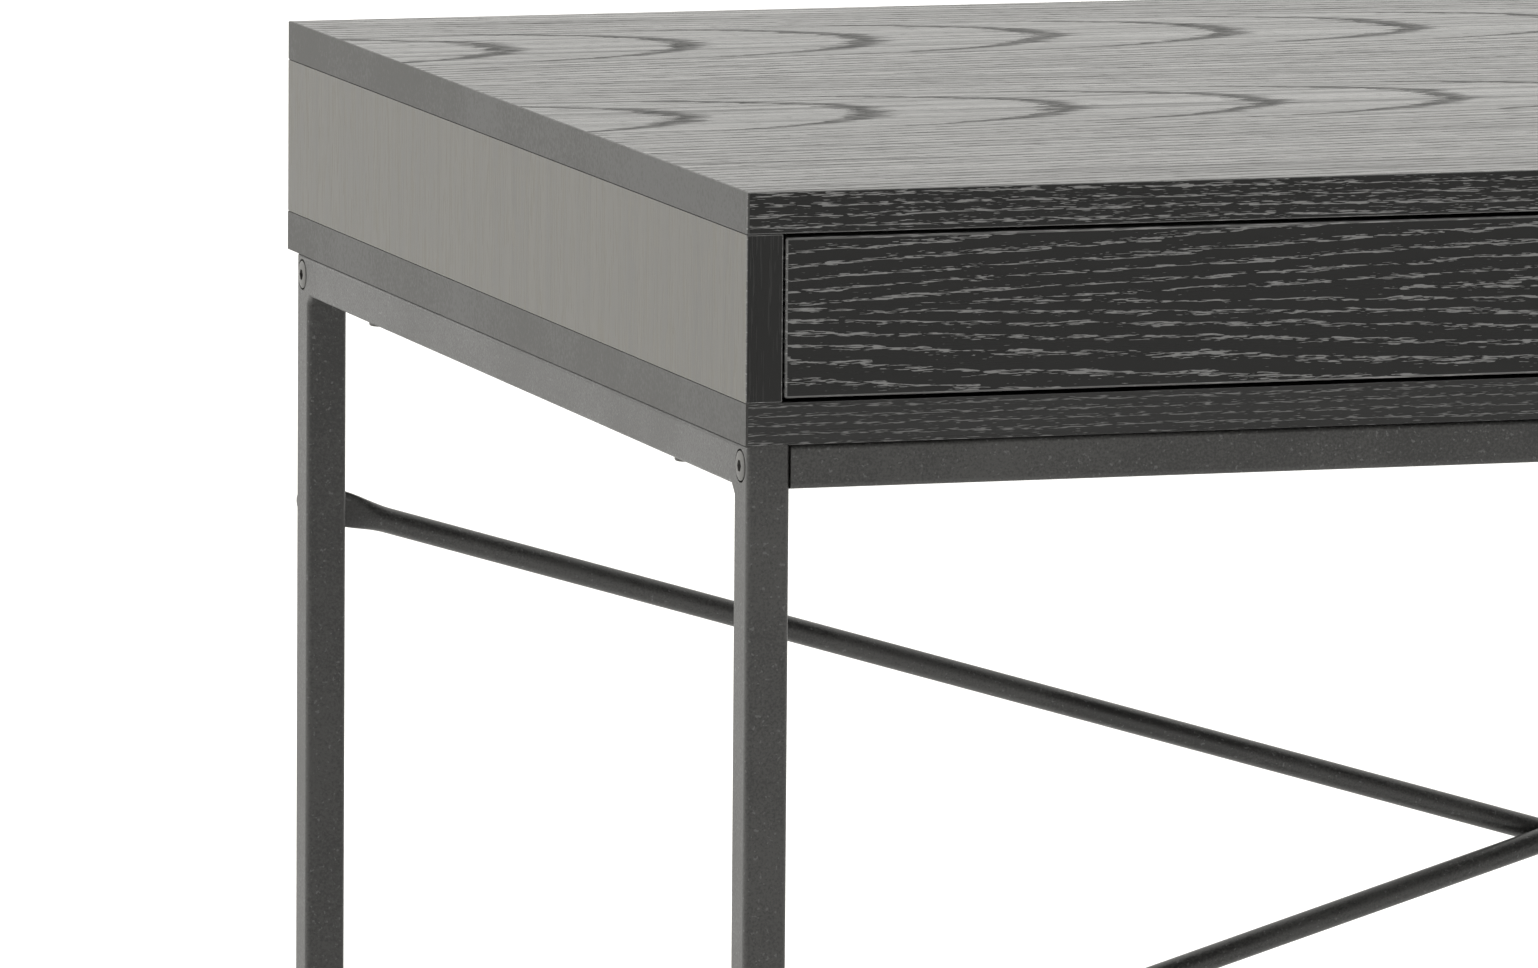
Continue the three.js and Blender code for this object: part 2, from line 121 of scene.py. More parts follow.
def ramp(tree, value, low, high, start=0.0, end=1.0):
    """Takes a value from low..high to start..end, easing in and out."""
    inputs = {"Value": value, "From Min": low, "From Max": high, "To Min": start, "To Max": end}
    return node(tree, "ShaderNodeMapRange", inputs, interpolation_type="SMOOTHSTEP").outputs[0]


def noise(tree, vector, scale, detail=2.0, roughness=0.5):
    inputs = {"Vector": vector, "Scale": scale, "Detail": detail, "Roughness": roughness}
    return node(tree, "ShaderNodeTexNoise", inputs).outputs["Fac"]


def blend_colours(tree, share, first, second):
    inputs = {"Factor": share, "A": first, "B": second}
    mixed = node(tree, "ShaderNodeMix", {}, data_type="RGBA")
    for key, value in inputs.items():
        socket = [s for s in mixed.inputs if s.name == key and s.enabled][0]
        if isinstance(value, bpy.types.NodeSocket):
            tree.links.new(value, socket)
        else:
            socket.default_value = value
    return [s for s in mixed.outputs if s.enabled][0]


def grey(value, warmth=0.0):
    """A grey, a little yellower where warmth is above 0."""
    return (value * (1 + warmth), value * (1 + warmth / 2), value * (1 - warmth), 1)


# %% [markdown]
# Floor and light
#
# The desk stands in a plain white studio. One big soft panel hangs overhead, and the room's own
# light comes from its walls: bright behind the desk, brightest at its left end, and dim on the
# camera's side. That is what makes dark furniture readable: the top and the ends mirror the bright
# walls at a low angle, and the front stays near black. A single lamp would leave hard shadows.

# %% Room light
WALL_LIGHT, FRONT_LIGHT, LEFT_LIFT = 1.45, 0.24, 1.7
WALL_COLOUR = (1.0, 0.990, 0.955, 1)
FRONT_FADE, LEFT_FADE = (-0.85, -0.05), (-0.75, 0.05)
world = bpy.data.worlds.new("studio")
scene.world = world
world.use_nodes = True
room = world.node_tree
direction = node(room, "ShaderNodeTexCoord").outputs["Generated"]
wall = node(room, "ShaderNodeSeparateXYZ", {"Vector": direction}).outputs
background = room.nodes["Background"]
background.inputs["Color"].default_value = WALL_COLOUR
wall_strength = ramp(room, wall["Y"], *FRONT_FADE, FRONT_LIGHT, WALL_LIGHT)
left_strength = ramp(room, wall["X"], *LEFT_FADE, LEFT_LIFT, 1.0)
wall_strength = calc(room, "MULTIPLY", wall_strength, left_strength)
room.links.new(wall_strength, background.inputs["Strength"])

PANEL_PLACE, PANEL_SIZE, PANEL_POWER = (0, 0.4, 6.0), 7.0, 90
panel = bpy.data.objects.new("overhead_panel", bpy.data.lights.new("overhead_panel", "AREA"))
panel.data.size, panel.data.energy = PANEL_SIZE, PANEL_POWER
panel.location = PANEL_PLACE
panel.visible_camera = False
scene.collection.objects.link(panel)
scene.view_settings.view_transform = "Standard"
print("room light", WALL_LIGHT, "behind and", FRONT_LIGHT, "in front")

# %% Floor
FLOOR_HALF = 60
FLOOR_SHADES, FLOOR_CLOUDS, FLOOR_ROUGHNESS = (0.92, 0.935), 0.8, 0.9
floor_bm = bmesh.new()
bmesh.ops.create_grid(floor_bm, x_segments=1, y_segments=1, size=FLOOR_HALF)
floor_mesh = bpy.data.meshes.new("studio_floor")
floor_bm.to_mesh(floor_mesh)
floor_bm.free()
floor = bpy.data.objects.new("studio_floor", floor_mesh)
scene.collection.objects.link(floor)

floor_finish = bpy.data.materials.new("pale_floor")
floor_finish.use_nodes = True
floor_tree = floor_finish.node_tree
floor_place = node(floor_tree, "ShaderNodeTexCoord").outputs["Object"]
floor_shade = noise(floor_tree, floor_place, FLOOR_CLOUDS)
floor_shader = floor_tree.nodes["Principled BSDF"]
floor_colour = blend_colours(floor_tree, floor_shade, *map(grey, FLOOR_SHADES))
floor_tree.links.new(floor_colour, floor_shader.inputs["Base Color"])
floor_shader.inputs["Roughness"].default_value = FLOOR_ROUGHNESS
floor_mesh.materials.append(floor_finish)
print("floor", 2 * FLOOR_HALF, "m across")

# %% [markdown]
# The ash grain
#
# Ash shows two things at once: growth rings, which cut the face as nested arches or as near-straight
# lines, and open pores, which crowd just outside each ring as short dashes along the grain. A wave
# texture gives rings but no arches, and an image would repeat, so the rings are worked out as a
# phase that grows by one from ring to ring: along the grain, with the square and the fourth power of
# the distance from the nearer row of arches, and evenly beyond the arches. A slow noise makes the
# rings wander, and a fine one feathers them. The pores are a noise stretched along the grain, let
# through more easily where a ring starts. Several finishes need it with other numbers, so it is a
# node group.

# %% Grain group
def new_group(name, inputs, outputs):
    """An empty shader node group with float inputs, a Vector input first, and float outputs."""
    group = bpy.data.node_groups.new(name, "ShaderNodeTree")
    group.interface.new_socket("Vector", in_out="INPUT", socket_type="NodeSocketVector")
    for label, value in inputs.items():
        socket = group.interface.new_socket(label, in_out="INPUT", socket_type="NodeSocketFloat")
        socket.default_value = value
    for label in outputs:
        group.interface.new_socket(label, in_out="OUTPUT", socket_type="NodeSocketFloat")
    return group, group.nodes.new("NodeGroupInput").outputs, group.nodes.new("NodeGroupOutput").inputs


WANDER_SIZE, FEATHER_SIZE = (0.22, 0.03), (0.02, 0.002)
TONE_SIZE, STREAK_SIZE = (0.5, 0.006), (0.30, 0.0024)
RING_RISE = 0.03
GRAIN_INPUTS = {
    "First Row": 0.0,
    "Second Row": 0.0,
    "Rings Along": 13.4,
    "Arch Nose": 240.0,
    "Arch Sides": 60000.0,
    "Arch Half": 0.050,
    "Rings Across": 130.0,
    "Rings Spread": 0.0,
    "Ring Start": 0.0,
    "Wander": 0.3,
    "Feather": 0.15,
    "Ring Share": 0.27,
    "Pore Length": 0.009,
    "Pore Width": 0.0006,
    "Open Pores": 0.46,
    "Closed Pores": 0.64,
    "Pore Edge": 0.05,
}
grain, given, wanted = new_group("ash_grain", GRAIN_INPUTS, ["Pores", "Rings", "Tone", "Streaks"])
parts = node(grain, "ShaderNodeSeparateXYZ", {"Vector": given["Vector"]}).outputs
along, across, deep = parts["X"], parts["Y"], parts["Z"]

from_first = calc(grain, "ABSOLUTE", calc(grain, "SUBTRACT", across, given["First Row"]))
from_second = calc(grain, "ABSOLUTE", calc(grain, "SUBTRACT", across, given["Second Row"]))
from_middle = calc(grain, "MINIMUM", from_first, from_second)
in_arch = calc(grain, "MINIMUM", from_middle, given["Arch Half"])
beside_arch = calc(grain, "SUBTRACT", from_middle, in_arch)
arch_squared = calc(grain, "MULTIPLY", in_arch, in_arch)
arch_fourth = calc(grain, "MULTIPLY", arch_squared, arch_squared)

phase = calc(grain, "MULTIPLY_ADD", along, given["Rings Along"], given["Ring Start"])
phase = calc(grain, "MULTIPLY_ADD", arch_squared, given["Arch Nose"], phase)
phase = calc(grain, "MULTIPLY_ADD", arch_fourth, given["Arch Sides"], phase)
phase = calc(grain, "MULTIPLY_ADD", beside_arch, given["Rings Across"], phase)
squared = calc(grain, "MULTIPLY", from_middle, from_middle)
phase = calc(grain, "MULTIPLY_ADD", squared, given["Rings Spread"], phase)


def stretched(tree, length, width):
    """The place in the grain, measured in lengths along it and widths across it."""
    inputs = {
        "X": calc(tree, "DIVIDE", along, length),
        "Y": calc(tree, "DIVIDE", across, width),
        "Z": calc(tree, "DIVIDE", deep, width),
    }
    return node(tree, "ShaderNodeCombineXYZ", inputs).outputs[0]


wander = calc(grain, "SUBTRACT", noise(grain, stretched(grain, *WANDER_SIZE), 1.0), 0.5)
phase = calc(grain, "MULTIPLY_ADD", wander, given["Wander"], phase)
ripple = calc(grain, "SUBTRACT", noise(grain, stretched(grain, *FEATHER_SIZE), 1.0), 0.5)
phase = calc(grain, "MULTIPLY_ADD", ripple, given["Feather"], phase)
through_ring = calc(grain, "FRACT", phase)
ring_fade = ramp(grain, through_ring, RING_RISE, given["Ring Share"], 1.0, 0.0)
ring_edge = ramp(grain, through_ring, 0.0, RING_RISE)
rings = calc(grain, "MULTIPLY", ring_fade, ring_edge)

dashes = noise(grain, stretched(grain, given["Pore Length"], given["Pore Width"]), 1.0, 1.0)
spread = calc(grain, "SUBTRACT", given["Open Pores"], given["Closed Pores"])
threshold = calc(grain, "MULTIPLY_ADD", rings, spread, given["Closed Pores"])
opened = calc(grain, "SUBTRACT", dashes, threshold)
pores = ramp(grain, opened, 0.0, given["Pore Edge"])
tone = ramp(grain, noise(grain, stretched(grain, *TONE_SIZE), 1.0, 3.0), 0.35, 0.65)
streaks = ramp(grain, noise(grain, stretched(grain, *STREAK_SIZE), 1.0, 4.0, 0.7), 0.48, 0.66)
for label, value in (("Pores", pores), ("Rings", rings), ("Tone", tone), ("Streaks", streaks)):
    grain.links.new(value, wanted[label])
print("grain group has", len(grain.nodes), "nodes")

# %% [markdown]
# Fine surface texture
#
# Powder paint, moulded plastic, foil and fibreboard are flat at arm's length, and uneven up close: a
# low orange peel or a fine leather grain, and a cloudy colour. Three noises do it: one at the size of
# the bumps, one at the size of a hand, and one for rare specks. This is the second group.

# %% Texture group
fine, given, wanted = new_group("fine_texture", {"Grain Size": 0.0006, "Cloud Size": 0.08},
                                ["Grain", "Clouds", "Specks"])
small = calc(fine, "DIVIDE", 1.0, given["Grain Size"])
large = calc(fine, "DIVIDE", 1.0, given["Cloud Size"])
grain_noise = noise(fine, given["Vector"], small, 3.0, 0.6)
cloud_noise = noise(fine, given["Vector"], large, 3.0, 0.55)
speck_noise = noise(fine, given["Vector"], calc(fine, "MULTIPLY", small, 0.6), 1.0)
fine.links.new(grain_noise, wanted["Grain"])
fine.links.new(cloud_noise, wanted["Clouds"])
fine.links.new(ramp(fine, speck_noise, 0.66, 0.74), wanted["Specks"])
print("texture group has", len(fine.nodes), "nodes")

# %% [markdown]
# Ash finishes
#
# The board is stained nearly black under a thin satin lacquer. The stain doesn't take in the open
# pores, so they stay lighter and matt: seen from the front they are pale dashes on black, and seen at
# a low angle they are the dull streaks in a bright sheen. One recipe gives both, because the shader
# handles the angle. Each face of a board has the grain along its own length, so each gets its own
# finish from the same recipe. Two finishes also carry painted light in their colours: the end panels'
# outer faces are painted several times lighter, a painted sheen, and the front-facing arris faces are
# painted lighter still, a painted highlight along the edge.

# %% Ash recipe
STAIN, PALE_PORE = grey(0.0055), grey(0.185)
LACQUER_IOR = 1.33


def surface_place(tree, axes, offset):
    """Object coordinates with the grain first: axes "xzy" reads X along it, Z across it and Y deep."""
    place = node(tree, "ShaderNodeTexCoord").outputs["Object"]
    moved = node(tree, "ShaderNodeMapping", {"Vector": place, "Location": offset}).outputs[0]
    parts = node(tree, "ShaderNodeSeparateXYZ", {"Vector": moved}).outputs
    named = {label: parts[axis.upper()] for label, axis in zip("XYZ", axes)}
    return node(tree, "ShaderNodeCombineXYZ", named).outputs[0]


def new_finish(name):
    finish = bpy.data.materials.new(name)
    finish.use_nodes = True
    return finish, finish.node_tree, finish.node_tree.nodes["Principled BSDF"]


def ash(name, axes, offset, base_tone=STAIN, pore=PALE_PORE, gloss=(0.28, 0.85), relief=0.00012,
        ring_dull=0.3, streak_dull=0.0, cloud=1.35, **sizes):
    """Stained ash veneer; offset moves the pattern, and sizes are the grain group's inputs."""
    finish, tree, shader = new_finish(name)
    place = surface_place(tree, axes, offset)
    inputs = {"Vector": place, **GRAIN_INPUTS, **{k.replace("_", " "): v for k, v in sizes.items()}}
    pattern = node(tree, "ShaderNodeGroup", {}, node_tree=grain)
    for label, value in inputs.items():
        if label == "Vector":
            tree.links.new(value, pattern.inputs[label])
        else:
            pattern.inputs[label].default_value = value
    pores, rings, tone, streaks = (pattern.outputs[k] for k in ("Pores", "Rings", "Tone", "Streaks"))
    lighter = tuple(channel * cloud for channel in base_tone[:3]) + (1,)
    base = blend_colours(tree, tone, base_tone, lighter)
    base = blend_colours(tree, pores, base, pore)
    dull = calc(tree, "MULTIPLY_ADD", rings, ring_dull, pores)
    dull = calc(tree, "MULTIPLY_ADD", streaks, streak_dull, dull)
    rough = ramp(tree, dull, 0.0, 1.0, *gloss)
    rough = calc(tree, "MULTIPLY_ADD", calc(tree, "SUBTRACT", tone, 0.5), 0.06, rough)
    bump = {"Height": calc(tree, "MULTIPLY", pores, -1.0), "Distance": relief, "Strength": 0.6}
    tree.links.new(base, shader.inputs["Base Color"])
    tree.links.new(rough, shader.inputs["Roughness"])
    tree.links.new(node(tree, "ShaderNodeBump", bump).outputs[0], shader.inputs["Normal"])
    shader.inputs["IOR"].default_value = LACQUER_IOR
    return finish


LEFT_END = -desk_low.x
DRAWER_FAN_HEIGHT = 0.709
FIRST_ARCHES, SECOND_ARCHES = 0.184, -0.060


def lines_from(distance):
    """The grain's inputs for lines without arches, counted from a distance across the grain."""
    no_arches = {"Arch_Nose": 0.0, "Arch_Sides": 0.0, "Arch_Half": 0.0}
    return {**no_arches, "First_Row": distance, "Second_Row": distance}


EDGE_LINES = {**lines_from(0.6), "Rings_Along": 1.5, "Wander": 0.9}
ash_flat = ash("ash_flat_face", "xyz", (LEFT_END, 0, 0), pore=grey(0.12, 0.01), ring_dull=0.8,
               streak_dull=0.38, First_Row=FIRST_ARCHES, Second_Row=SECOND_ARCHES,
               Ring_Start=0.42, Feather=0.42)
ash_edge = ash(
    "ash_front_edge", "xzy", (LEFT_END, 0, 0), **EDGE_LINES, Rings_Across=270.0, Feather=0.5,
    Ring_Share=0.62, Pore_Length=0.005, Pore_Width=0.00034, Open_Pores=0.45, Closed_Pores=0.66)
ash_low_edge = ash(
    "ash_low_front_edge", "xzy", (LEFT_END, 0.3, 0), base_tone=grey(0.014), pore=grey(0.13),
    **EDGE_LINES, Rings_Across=300.0, Feather=0.5, Ring_Share=0.62, Pore_Length=0.005,
    Pore_Width=0.00040, Open_Pores=0.46, Closed_Pores=0.66, Pore_Edge=0.08)
ash_drawer = ash(
    "ash_drawer_face", "xzy", (LEFT_END, 0, 0), **lines_from(DRAWER_FAN_HEIGHT),
    Rings_Along=-8.5, Rings_Across=264.0, Rings_Spread=-2150.0, Wander=1.3, Feather=0.8,
    Ring_Share=0.55, Pore_Length=0.0045, Pore_Width=0.00032, Open_Pores=0.45, Closed_Pores=0.76,
    Pore_Edge=0.03)
# The front-facing rounded arris faces get a much lighter base and pores: a painted highlight along the
# edge.
arris_painted_highlight = ash(
    "ash_arris_painted_highlight", "xzy", (LEFT_END, 0, 0), base_tone=grey(0.085), pore=grey(0.24),
    **EDGE_LINES, Rings_Across=270.0)
ash_upright = ash(
    "ash_upright_edge", "zxy", (0, 0, 0), pore=grey(0.020), gloss=(0.28, 0.5),
    **lines_from(1.0), Rings_Along=1.0, Rings_Across=400.0, Wander=0.4,
    Pore_Length=0.016, Pore_Width=0.0007, Open_Pores=0.53, Closed_Pores=0.64)
# The end panels' outer faces get a base and pores many times lighter than the top's: painted sheen,
# standing in for the bright room mirrored in the satin lacquer.
ash_side_painted_sheen = ash(
    "ash_side_painted_sheen_panel", "zyx", (0, 0, 0), base_tone=grey(0.046, 0.08), pore=grey(0.105, 0.08),
    gloss=(0.36, 0.56), relief=0.00004, ring_dull=0.2, cloud=1.6, **lines_from(0.9),
    Rings_Along=0.6, Rings_Across=60.0, Wander=1.5, Pore_Length=0.014,
    Pore_Width=0.0012, Open_Pores=0.48, Closed_Pores=0.56)
print("ash finishes", [m.name for m in bpy.data.materials if m.name.startswith("ash")])

# %% [markdown]
# Plain finishes
#
# The other surfaces share a recipe of fine texture, a cloudy colour and a roughness that follows the
# clouds. Bare fibreboard is the roughest, and zinc the smoothest: it is a metal with long faint marks
# from rolling. Constant values are set on the shader, and only what varies is wired.

# %% Textured recipe
SHADE_RANGE = (0.3, 0.7)


def textured(name, dark, light, gloss, grain_size, relief, cloud=0.08, speck=None, metal=0.0,
             stretch=(1, 1, 1)):
    """A fine-textured finish: two colours for the clouds, and two roughnesses."""
    finish, tree, shader = new_finish(name)
    place = node(tree, "ShaderNodeTexCoord").outputs["Object"]
    place = node(tree, "ShaderNodeMapping", {"Vector": place, "Scale": stretch}).outputs[0]
    pattern = node(tree, "ShaderNodeGroup", {}, node_tree=fine)
    tree.links.new(place, pattern.inputs["Vector"])
    pattern.inputs["Grain Size"].default_value = grain_size
    pattern.inputs["Cloud Size"].default_value = cloud
    bumps, clouds, specks = (pattern.outputs[label] for label in ("Grain", "Clouds", "Specks"))
    shade = calc(tree, "MULTIPLY_ADD", calc(tree, "SUBTRACT", bumps, 0.5), 1.3, clouds)
    colour = blend_colours(tree, ramp(tree, shade, *SHADE_RANGE), dark, light)
    if speck:
        colour = blend_colours(tree, specks, colour, speck)
    tree.links.new(colour, shader.inputs["Base Color"])
    tree.links.new(ramp(tree, shade, *SHADE_RANGE, *gloss), shader.inputs["Roughness"])
    bump = {"Height": bumps, "Distance": relief, "Strength": 0.5}
    tree.links.new(node(tree, "ShaderNodeBump", bump).outputs[0], shader.inputs["Normal"])
    shader.inputs["Metallic"].default_value = metal
    return finish


edge_band = textured("edge_band", grey(0.008, 0.05), grey(0.026, 0.05), (0.46, 0.62), 0.0014, 0.00005)
inner_board = textured("inner_board", grey(0.020), grey(0.026), (0.5, 0.6), 0.0015, 0.00002)
powder = textured("powder_coat", grey(0.014, 0.02), grey(0.040, 0.02), (0.36, 0.54), 0.0009, 0.00025,
                  speck=grey(0.075))
fastener = textured("dark_fastener", grey(0.048, 0.03), grey(0.075, 0.04), (0.38, 0.5), 0.0009,
                    0.00001, cloud=0.006, metal=0.3)
zinc = textured("zinc_runner", grey(0.50), grey(0.62), (0.26, 0.40), 0.0012, 0.00001, cloud=0.02,
                metal=1.0, stretch=(1, 0.06, 1))
# Near-black zinc: the brace bolts' own finish, and painted shade inside every hex socket.
black_zinc_and_socket_shade = textured("black_zinc_and_socket_shade", grey(0.008), grey(0.014), (0.45, 0.55), 0.0009, 0.00001)
plastic = textured("moulded_plastic", grey(0.014), grey(0.020), (0.46, 0.58), 0.0005, 0.00003)
melamine = textured("drawer_melamine", grey(0.040, 0.02), grey(0.052, 0.02), (0.45, 0.55), 0.0011,
                    0.00002, speck=grey(0.075), stretch=(1, 0.3, 1))
fibreboard = textured("fibreboard", grey(0.055, 0.03), grey(0.085, 0.05), (0.7, 0.85), 0.0009, 0.00004,
                      speck=grey(0.12), cloud=0.03)
print("finishes in all", len(bpy.data.materials))

# %% [markdown]
# Mesh helpers
#
# Real edges are never knife-sharp: a board's arris is eased with a stroke of sandpaper, and folded
# steel has a small radius. That thin rounded line is what catches the light. Where the measured
# solid has the right shape, its copy is merged, cleaned and bevelled. Where it doesn't, the piece is
# built from a few operators and placed by the measured box.

# %% From bmesh to a piece of the desk
SHARP, NEARLY_FLAT = radians(35), radians(1)
SAME_PLACE = 1e-6


def to_piece(bm, name, materials, body, nodes):
    """Ends a bmesh as a piece: smooth faces, sharp edges marked, riding on its body."""
    for face in bm.faces:
        face.smooth = True
    for edge in bm.edges:
        edge.smooth = not (len(edge.link_faces) == 2 and edge.calc_face_angle(0) > SHARP)
    mesh = bpy.data.meshes.new(name)
    bm.to_mesh(mesh)
    bm.free()
    for material in materials:
        mesh.materials.append(material)
    piece = bpy.data.objects.new(name, mesh)
    scene.collection.objects.link(piece)
    piece.modifiers.new("true_flats", "WEIGHTED_NORMAL").keep_sharp = True
    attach(piece, body)
    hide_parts(*nodes)
    return piece


def solid_copy(node_name):
    """The measured solid as a clean bmesh, with its flat faces whole."""
    bm = bmesh.new()
    bm.from_mesh(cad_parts[node_name].data)
    bmesh.ops.remove_doubles(bm, verts=bm.verts, dist=SAME_PLACE)
    bmesh.ops.dissolve_limit(bm, angle_limit=NEARLY_FLAT, verts=bm.verts, edges=bm.edges)
    return bm


def ease(bm, width, edges=None, segments=2):
    """Rounds the given edges, or every edge that turns sharply."""
    if edges is None:
        edges = [e for e in bm.edges if len(e.link_faces) == 2 and e.calc_face_angle(0) > SHARP]
    bmesh.ops.bevel(bm, geom=edges, offset=width, offset_type="OFFSET", segments=segments,
                    profile=0.5, affect="EDGES", clamp_overlap=True, material=-1)


def split_at(bm, point, normal):
    geom = [*bm.verts, *bm.edges, *bm.faces]
    bmesh.ops.bisect_plane(bm, geom=geom, dist=SAME_PLACE, plane_co=point, plane_no=normal)


def block(low, high):
    """A box between two corners."""
    bm = bmesh.new()
    middle = (Vector(low) + Vector(high)) / 2
    size = Vector(high) - Vector(low)
    bmesh.ops.create_cube(bm, size=1, matrix=Matrix.Translation(middle) @ Matrix.Diagonal((*size, 1)))
    return bm


def bar(radius, length, segments, place, axis):
    """A round or six-sided cutter along an axis, centred on a place."""
    bm = bmesh.new()
    turn = Vector((0, 0, 1)).rotation_difference(Vector(axis)).to_matrix().to_4x4()
    bmesh.ops.create_cone(bm, cap_ends=True, segments=segments, radius1=radius, radius2=radius,
                          depth=length, matrix=Matrix.Translation(place) @ turn)
    return bm


def carve(bm, cutters):
    """Cuts the cutters out of bm, and gives the result as a new bmesh."""
    def loose(made):
        mesh = bpy.data.meshes.new("cutting")
        made.to_mesh(mesh)
        made.free()
        shape = bpy.data.objects.new("cutting", mesh)
        scene.collection.objects.link(shape)
        return shape

    target, tools = loose(bm), [loose(cutter) for cutter in cutters]
    for tool in tools:
        cut = target.modifiers.new("cut", "BOOLEAN")
        cut.object, cut.operation, cut.solver = tool, "DIFFERENCE", "EXACT"
    shown = target.evaluated_get(bpy.context.evaluated_depsgraph_get())
    result = bmesh.new()
    result.from_mesh(shown.to_mesh())
    shown.to_mesh_clear()
    for shape in (target, *tools):
        bpy.data.meshes.remove(shape.data)
    return result


print("mesh helpers ready")

# %% [markdown]
# The wooden box
#
# The top and bottom are boards with veneer on both faces, a veneered front edge, and a one-millimetre
# band glued over each end. The band is part of the same board, so the copy is split one millimetre in
# and the end gets its own finish. The side panels, the divider and the back stand between the boards.

# %% Boards
BAND, ARRIS = 0.001, 0.0004
ARRIS_FACING = (0.15, 0.97)
BOX_HEIGHT = desk_high.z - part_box("bottom_panel")[0].z
BOARD_FINISHES = [ash_flat, ash_edge, edge_band, ash_side_painted_sheen, inner_board, ash_upright, arris_painted_highlight,
                  ash_low_edge]
FLAT, EDGE, END, SIDE, INSIDE, UPRIGHT, ARRIS_HIGHLIGHT, LOW_EDGE = range(8)


def paint_front_arris_highlight(bm, finish_number):
    """The rounded faces between a front face and its neighbours, which take a lighter finish: a painted
    highlight along the arris.
    """
    least, most = ARRIS_FACING
    for face in bm.faces:
        if least < -face.normal.y < most:
            face.material_index = finish_number


def board(name, node_name, choose, bands=False):
    """A board of the box; choose(face) says which finish a face has."""
    bm = solid_copy(node_name)
    if bands:
        for end in (desk_low.x + BAND, desk_high.x - BAND):
            split_at(bm, (end, 0, 0), (1, 0, 0))
    for face in bm.faces:
        face.material_index = choose(face)
    ease(bm, ARRIS)
    # Front-facing arris faces take the lighter finish: a painted highlight.
    paint_front_arris_highlight(bm, ARRIS_HIGHLIGHT)
    to_piece(bm, name, BOARD_FINISHES, "desk", [node_name])


def flat_board(face):
    normal, middle = face.normal, face.calc_center_median()
    if abs(middle.x) > desk_high.x - BAND:
        return END
    edge = EDGE if middle.z > (desk_high.z - BOX_HEIGHT / 2) else LOW_EDGE
    return FLAT if abs(normal.z) > 0.5 else edge


def standing_board(face):
    normal, middle = face.normal, face.calc_center_median()
    if abs(normal.x) > 0.5:
        # Outer faces of the end panels take the side finish with its painted sheen.
        return SIDE if abs(middle.x) > desk_high.x - BAND else INSIDE
    return UPRIGHT if abs(normal.y) > 0.5 and abs(middle.y) > desk_high.y - BAND else INSIDE


board("desktop_board", "top_panel", flat_board, bands=True)
board("box_bottom_board", "bottom_panel", flat_board, bands=True)
for node_name in ("left_side_panel", "right_side_panel", "back_panel", "centre_divider"):
    board(node_name + "_board", node_name, standing_board)
print("box boards", 6)

# %% [markdown]
# The drawers
#
# Each drawer has an ash front, two sides, a back and a thin bottom let into a groove. The front's
# arris is rounder than a board's, because hands pull on it, and its front-facing rounded faces get a
# lighter finish, a painted highlight that shows as a thin light line along its top. The grooves come
# with the measured solids, so the copies keep them.

# %% Drawer boxes
FRONT_ARRIS, BOX_ARRIS, SHEET_ARRIS = 0.0008, 0.0005, 0.0003
FRONT_FINISHES = [ash_drawer, ash_edge, inner_board, arris_painted_highlight]
FACE, RIM, BACK, FRONT_ARRIS_HIGHLIGHT = range(4)
DRAWERS = ("left_drawer", "right_drawer")


def drawer_front_face(face):
    return FACE if face.normal.y < -0.5 else (RIM if face.normal.y < 0.5 else BACK)


for drawer in DRAWERS:
    bm = solid_copy(f"{drawer}_front")
    for face in bm.faces:
        face.material_index = drawer_front_face(face)
    outline = [e for e in bm.edges if all(f.normal.y < 0.5 for f in e.link_faces)
               and e.calc_face_angle(0) > SHARP]
    ease(bm, FRONT_ARRIS, outline, 3)
    # Front-facing arris faces take the lighter finish: a painted highlight.
    paint_front_arris_highlight(bm, FRONT_ARRIS_HIGHLIGHT)
    to_piece(bm, f"{drawer}_front_board", FRONT_FINISHES, drawer, [f"{drawer}_front"])
    for part in ("left_side", "right_side", "back"):
        bm = solid_copy(f"{drawer}_{part}")
        ease(bm, BOX_ARRIS)
        to_piece(bm, f"{drawer}_{part}_board", [melamine], drawer, [f"{drawer}_{part}"])
    bm = solid_copy(f"{drawer}_bottom")
    ease(bm, SHEET_ARRIS)
    to_piece(bm, f"{drawer}_bottom_sheet", [fibreboard], drawer, [f"{drawer}_bottom"])
print("drawers", len(DRAWERS))

# %% [markdown]
# The side frames
#
# Each end of the desk stands on an upside-down U of square tube: two legs and the rail between them,
# welded and ground flush, so that the outer face reads as one plate with softly rounded corners, and
# a small fillet of weld shows in each inner corner. Three separate tubes would show grooves where
# their corners meet. So the U is one outline, drawn out to the tube's width and bevelled, and then
# the legs are hollowed and the bolt holes drilled.

# %% Welded frame
leg_low, leg_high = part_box("left_front_leg")
TUBE, TUBE_WALL, TUBE_ROUND, WELD = leg_high.x - leg_low.x, 0.0012, 0.002, 0.0035
BOLT_HOLE, SHANK_HOLE = 0.0121, 0.0066
HOLLOW_STOP, PAST_FOOT = 0.006, 0.01
SHANK_CUT, BRACE_CUT = 0.03, 0.01
BRACE_BOLTS = [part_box(f"left_{row}_brace_bolt") for row in ("upper", "lower")]
BRACE_HEIGHTS = [(low.z + high.z) / 2 for low, high in BRACE_BOLTS]


